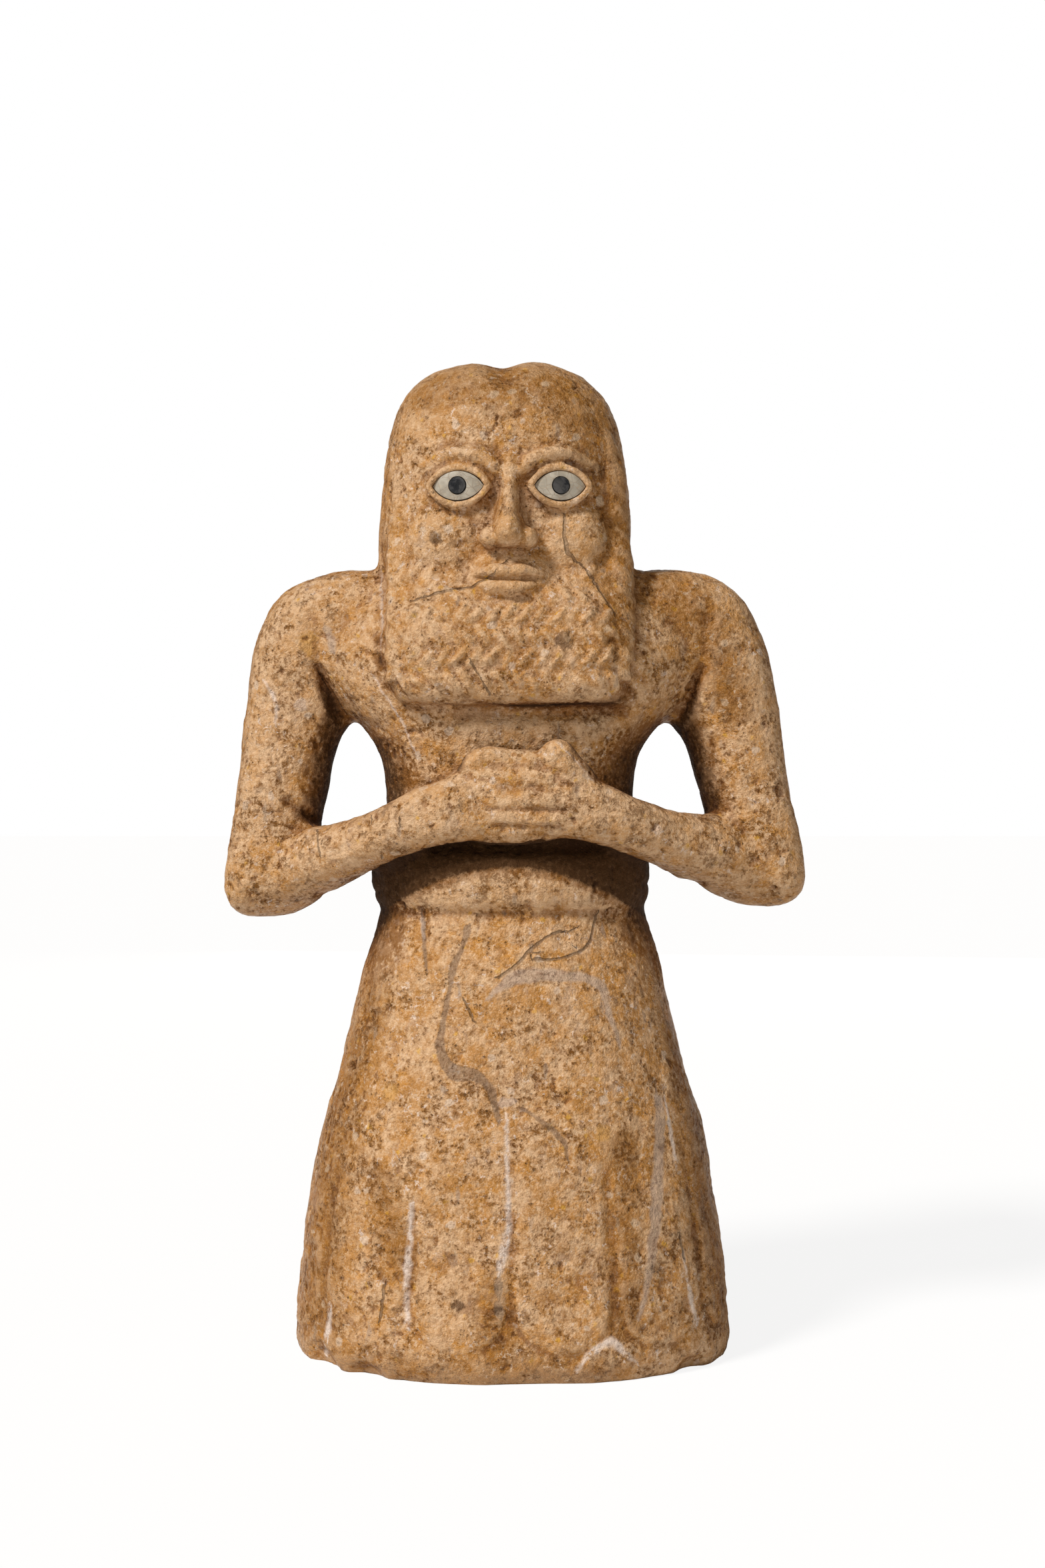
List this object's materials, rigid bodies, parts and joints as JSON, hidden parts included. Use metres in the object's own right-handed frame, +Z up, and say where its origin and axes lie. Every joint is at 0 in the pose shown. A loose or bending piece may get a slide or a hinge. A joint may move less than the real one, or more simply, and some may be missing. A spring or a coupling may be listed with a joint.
{
  "type": "stone worshipper statue",
  "caption": "Standing bearded figure carved in mottled stone, hands clasped before the chest, arms free of the trunk, inlaid eyes, belted skirt ending in long tongues.",
  "frame": {"origin": "middle of the footprint of the object's box, on its flat underside", "axes": "+Z up through the crown; the figure faces -Y, and +X is to the right of a viewer facing it"},
  "size_m": [0.1756, 0.0954, 0.3],
  "materials": {
    "mottled_limestone": "worn, half polished, mottled tan and brown",
    "eye_shell": "dull white shell, crazed",
    "pupil_stone": "dark, smooth"
  },
  "bodies": {
    "root": {"figure": "mottled_limestone", "eye_shell_left": "eye_shell", "eye_shell_right": "eye_shell", "pupil_left": "pupil_stone", "pupil_right": "pupil_stone"}
  },
  "joints": []
}
